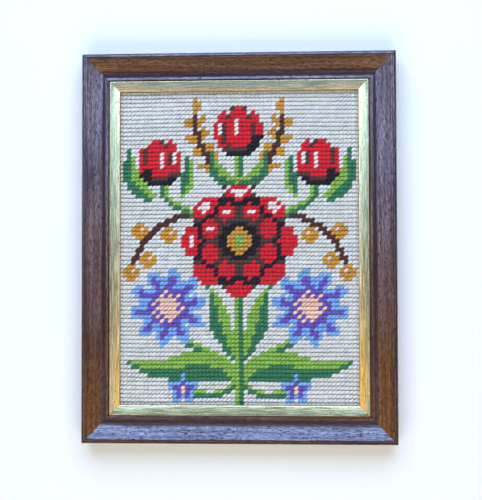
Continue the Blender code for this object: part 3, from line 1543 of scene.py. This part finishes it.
@dataclass(frozen=True)
class FloweringTree:
    """The picture: a traditional flowering tree with mirror symmetry, drawn from motifs.

    Attributes:
        columns: How many stitches the chart has across.
        rows: How many rows it has.
    """

    columns: int
    rows: int

    def branch(self, flip: int) -> list[Motif]:
        """What lies under the flowers in one half: sprays, tendrils, stems and broad leaves.

        Args:
            flip: 1 for the right half, -1 for the left.

        Returns:
            The motifs, in order.
        """
        return [
            Spray(Route(((2, 12), (6, 20), (11, 24), (10.5, 33)), flip)),
            Berries(Route(((9, 8), (19, 8), (25, 1), (25.5, -5)), flip)),
            Stem(Route(((4, 6), (12, 8), (18, 10), (18.5, 15)), flip)),
            Leaf(Route(((20, 12), (25, 13), (27.5, 18), (26, 25)), flip), 1.9),
            Leaf(Route(((14, 12), (12, 15), (11.5, 19), (12.6, 22)), flip), 1.4),
            Stem(Route(((0.5, -30), (5, -25), (11, -25), (15.5, -20)), flip)),
            Leaf(Route(((1, -27), (6, -16), (4, -16), (7.6, -8.5)), flip), 2.3),
            Leaf(Route(((0, -33), (9, -23), (16, -33), (27.5, -27)), flip), 3.1),
            Stem(Route(((0.5, -31), (3, -36), (7, -36), (11.5, -34.5)), flip), 0.8),
        ]

    def flowers(self, flip: int) -> list[Motif]:
        """The flowers of one half, and the small leaf under the top one.

        Args:
            flip: 1 for the right half, -1 for the left.

        Returns:
            The motifs, in order.
        """
        return [
            Leaf(Route(((0.4, 16.5), (4, 15.5), (6.6, 18), (6.4, 23.5)), flip), 1.7),
            Aster(Spot(17.0, -14.2, 9.0, 1.0, flip)),
            Tulip(Spot(18.8, 18.4, -10.0, 0.93, flip)),
            Posy(Spot(13.5, -34.0, 0.0, 1.0, flip)),
        ]

    def motifs(self) -> list[Motif]:
        """Gathers the motifs of both halves and of the middle.

        Returns:
            All of them, in the order in which they are laid.
        """
        trunk = Stem(Route(((0, -39), (-0.8, -28), (0.8, -18), (0, -8))), 1.25)
        top_stem = Stem(Route(((0, 12), (0.6, 16), (-0.4, 19), (0, 23))), 1.0)
        middle = [Tulip(Spot(0.0, 25.6, 0.0, 1.02)), Rosette(Spot(0.0, 1.5))]
        branches = [*self.branch(-1), *self.branch(1)]
        return [*branches, trunk, top_stem, *self.flowers(-1), *self.flowers(1), *middle]

    def chart(self) -> Chart:
        """Lays every motif on the plain ground.

        Returns:
            The finished chart.
        """
        chart = Chart(self.columns, self.rows)
        for motif in self.motifs():
            motif.draw(chart)
        return chart


@dataclass(frozen=True)
class Stitchery:
    """The worked canvas: the sheet, and the wool on its face and its back.

    Attributes:
        cloth: The canvas's form.
        columns: How many stitches there are across.
        rows: How many rows there are.
        most: How many stitches one piece may hold.
        sink: How far below the canvas's middle the face's yarn starts.
        back_lift: How far above that the back's yarn starts.
        row_spread: How much the tone varies from row to row.
        tone_spread: How much it varies from stitch to stitch.
        width_spread: How much the stitches' width varies.
        height_spread: How much their height varies.
        height_range: The least and the most that a height is multiplied by.
    """

    cloth: Cloth
    columns: int = 60
    rows: int = 78
    most: int = 1100
    sink: float = 0.3 * MM
    back_lift: float = 0.2 * MM
    row_spread: float = 0.35
    tone_spread: float = 0.4
    width_spread: float = 0.05
    height_spread: float = 0.04
    height_range: tuple[float, float] = (0.9, 1.08)

    def front(self) -> Yarn:
        """The slanted stitch on the face.

        Returns:
            The stitch's yarn.
        """
        return Yarn(
            rise=1.13 * MM,
            half_width=1.08 * MM,
            half_height=0.68 * MM,
            pinch=0.16,
            lean=0.16 * MM,
            lift_power=0.64,
            full_power=0.74,
            rings=7,
            sides=8,
        )

    def back(self) -> Yarn:
        """The short upright stitch on the back.

        Returns:
            The stitch's yarn.
        """
        return Yarn(
            rise=-0.72 * MM,
            half_width=0.80 * MM,
            half_height=0.42 * MM,
            pinch=0.5,
            lean=0.0,
            lift_power=0.55,
            full_power=0.7,
            rings=4,
            sides=6,
        )

    def yarns(self, chosen: Mask, width: Floats, height: Floats, tone: Floats) -> Skin:
        """The chosen stitches, front and back, on the settled cloth.

        Args:
            chosen: Which stitches they are.
            width: Each stitch's width share, over the whole chart.
            height: Each stitch's height share.
            tone: Each stitch's tone.

        Returns:
            Their yarn as one surface.
        """
        row, column = np.nonzero(chosen)
        pitch = self.cloth.pitch
        x = (column - self.columns / 2) * pitch
        y = (row - self.rows / 2) * pitch
        face_level = np.full(len(x), self.cloth.thread_level - self.sink)
        start = np.stack([x, y, face_level], -1)
        end = np.stack([x + pitch, y + pitch, face_level], -1)
        under = np.stack([x + pitch, y, face_level + self.back_lift], -1)
        over = np.stack([x + pitch, y + pitch, face_level + self.back_lift], -1)
        settle = self.cloth.settled
        w, h, t = width[chosen], height[chosen], tone[chosen]
        face = self.front().laid(settle(start), settle(end), w, h, t)
        back = self.back().laid(settle(under), settle(over), w, h, t)
        return Skin.joined([face, back])

    def build(self, chart: Chart) -> None:
        """Args:
            chart: The picture's chart.
        """
        draw = np.random.default_rng(SEED)
        shape = (self.rows, self.columns)
        row_tone = draw.normal(0.0, self.row_spread, (self.rows, 1))
        tone = np.clip(row_tone + draw.normal(0.0, self.tone_spread, shape), -1.0, 1.0)
        width = 1.0 + draw.normal(0.0, self.width_spread, shape)
        height = np.clip(1.0 + draw.normal(0.0, self.height_spread, shape), *self.height_range)
        sheet = self.cloth.woven().to_object("canvas_sheet", BareCanvas().material(), None)
        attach(sheet, BODY)
        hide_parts("needlepoint_canvas")
        for wool in Wool:
            finish = TapestryWool(wool.value).material(f"wool_{wool.label}")
            chosen = chart.of(wool)
            bands = -(-int(chosen.sum()) // self.most)
            order = np.cumsum(chosen).reshape(shape) - 1
            for band in range(bands):
                here = chosen & (order * bands // chosen.sum() == band)
                name = f"stitches_{wool.label}" + (f"_{band + 1}" if bands > 1 else "")
                piece = self.yarns(here, width, height, tone).to_object(name, finish, None)
                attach(piece, BODY)


@dataclass(frozen=True)
class Panel:
    """A light that is a soft glowing rectangle, far enough off to light the whole thing alike.

    Attributes:
        name: The light's name.
        lean_deg: How far it stands from overhead, towards +X and towards +Y.
        spread_deg: How wide and how tall it looks from the middle.
        tint: The brightness of each channel.
        far: How far off it is.
        gloss_only: Whether it only shows in the glossy finishes, as a reflecting card does.
    """

    name: str
    lean_deg: tuple[float, float]
    spread_deg: tuple[float, float]
    tint: tuple[float, float, float]
    far: float = 1.4
    gloss_only: bool = True

    def build(self) -> None:
        """Adds the light, facing the middle, with its width level."""
        lean_x, lean_y = (math.tan(math.radians(angle)) for angle in self.lean_deg)
        bearing = Vector((lean_x, lean_y, 1.0)).normalized()
        wide, tall = (2 * self.far * math.tan(math.radians(angle) / 2) for angle in self.spread_deg)
        light = bpy.data.lights.new(self.name, "AREA")
        light.shape = "RECTANGLE"
        light.size, light.size_y = wide, tall
        peak = max(self.tint)
        light.color = [channel / peak for channel in self.tint]
        light.energy = peak * wide * tall * math.pi
        made = bpy.data.objects.new(self.name, light)
        bpy.context.scene.collection.objects.link(made)
        right = Vector((bearing.z, 0.0, -bearing.x)).normalized()
        turn = Matrix((right, bearing.cross(right), bearing)).transposed().to_4x4()
        made.matrix_world = Matrix.Translation(bearing * self.far) @ turn
        made.visible_camera = False
        made.visible_diffuse = not self.gloss_only
        made.visible_glossy = self.gloss_only


@dataclass(frozen=True)
class Studio:
    """The floor, the lights and the camera over the panel.

    Attributes:
        floor_side: The floor's side.
        camera_distance: From the point aimed at to the camera.
        aim: The point that the camera aims at.
        tilt_up_deg: How far the camera leans to the panel's foot.
        tilt_right_deg: How far it leans to the panel's right.
        roll_deg: How far it is turned about its own axis.
        lens_mm: Its focal length, on a 36 mm long side.
        ambient: The even light from all round.
    """

    floor_side: float = 4.0
    camera_distance: float = 0.6
    aim: tuple[float, float, float] = (1.41 * MM, -1.62 * MM, 12.0 * MM)
    tilt_up_deg: float = 1.698
    tilt_right_deg: float = 2.902
    roll_deg: float = -0.114
    lens_mm: float = 71.45
    ambient: tuple[float, float, float] = (0.05, 0.05, 0.05)

    def camera(self) -> None:
        """Sets the camera over the panel, leaning as the photo's view does."""
        data = bpy.data.cameras.new("camera")
        data.lens = self.lens_mm
        data.sensor_width = 36.0
        data.clip_start, data.clip_end = 0.01, 20.0
        camera = bpy.data.objects.new("camera", data)
        bpy.context.scene.collection.objects.link(camera)
        lean_x, lean_y = math.radians(self.tilt_right_deg), math.radians(self.tilt_up_deg)
        back = Vector((math.sin(lean_x), -math.sin(lean_y), 1.0)).normalized()
        right = Vector((back.z, 0.0, -back.x)).normalized()
        turn = Matrix((right, back.cross(right), back)).transposed().to_4x4()
        roll = Matrix.Rotation(math.radians(self.roll_deg), 4, "Z")
        camera.matrix_world = Matrix.Translation(Vector(self.aim) + back * self.camera_distance) @ turn @ roll
        bpy.context.scene.camera = camera

    def floor(self) -> None:
        """Lays the floor under the frame's back."""
        half = self.floor_side / 2
        points = half * np.array([[-1.0, -1.0, 0.0], [1.0, -1.0, 0.0], [1.0, 1.0, 0.0], [-1.0, 1.0, 0.0]])
        skin = Skin(points, np.arange(4), np.array([4]), points[:, :2], np.zeros(4))
        skin.to_object("floor", PaleFloor().material(), None)

    def world(self) -> None:
        """Sets the even light from all round."""
        world = bpy.data.worlds.new("studio")
        world.use_nodes = True
        background = world.node_tree.nodes["Background"]
        background.inputs["Color"].default_value = (*self.ambient, 1.0)
        bpy.context.scene.world = world

    def panels(self) -> list[Panel]:
        """A soft key and fill, and the cards that the wood and the gilt reflect.

        Returns:
            The lights.
        """
        cards = [
            Panel("key", (0.0, 40.0), (70.0, 50.0), (2.25, 2.85, 4.0), 0.65, False),
            Panel("fill", (0.0, -38.0), (60.0, 40.0), (2.7, 2.7, 2.4), 0.6, False),
            Panel("low_sky", (0.0, 76.0), (70.0, 12.0), (3.0, 3.6, 6.0)),
            Panel("window", (0.0, 51.5), (44.0, 29.0), (3.1, 4.5, 8.6)),
            Panel("sky", (0.0, 26.0), (44.0, 22.0), (0.17, 0.24, 0.5)),
            Panel("ceiling", (0.0, -18.0), (44.0, 22.0), (0.20, 0.42, 1.25)),
            Panel("warm_wall", (0.0, -46.0), (44.0, 26.0), (1.8, 0.95, 0.6)),
        ]
        near, far = 25.5, 47.5
        for sign, side in ((-1, "left"), (1, "right")):
            inner, outer = sign * near - self.tilt_right_deg, sign * far - self.tilt_right_deg
            cards += [
                Panel(f"near_sky_{side}", (inner, 32.0), (16.5, 28.0), (2.8, 4.2, 8.0)),
                Panel(f"near_cool_{side}", (inner, 12.0), (16.5, 12.0), (0.45, 1.0, 2.3)),
                Panel(f"near_mid_{side}", (inner, 0.5), (16.5, 11.0), (0.0, 0.1, 0.3)),
                Panel(f"near_warm_{side}", (inner, -10.5), (16.5, 11.0), (0.5, 0.3, 0.0)),
                Panel(f"near_gold_{side}", (inner, -31.0), (16.5, 30.0), (2.2, 1.4, 0.0)),
                Panel(f"far_sky_{side}", (outer, 32.0), (31.0, 28.0), (1.7, 1.9, 3.4)),
                Panel(f"far_cool_{side}", (outer, 12.0), (30.0, 12.0), (1.0, 1.15, 1.95)),
                Panel(f"far_dim_{side}", (outer, 0.5), (30.0, 11.0), (1.5, 1.1, 1.3)),
                Panel(f"far_warm_{side}", (outer, -30.5), (31.0, 31.0), (2.1, 0.95, 0.25)),
            ]
        return cards

    def build(self) -> None:
        """Sets up everything round the panel."""
        self.floor()
        self.world()
        for panel in self.panels():
            panel.build()
        self.camera()
        bpy.context.scene.view_settings.view_transform = "Standard"


def main() -> None:
    """Builds the panel piece by piece, then the studio."""
    logging.basicConfig(level=logging.INFO, format="%(name)s: %(message)s")
    sizes = Sizes.read()
    moulding = Moulding(sizes)
    moulding.build()
    Slip(sizes, moulding).build()
    stitchery = Stitchery(Cloth(sizes))
    stitchery.build(FloweringTree(stitchery.columns, stitchery.rows).chart())
    Studio().build()


if __name__ == "__main__":
    main()
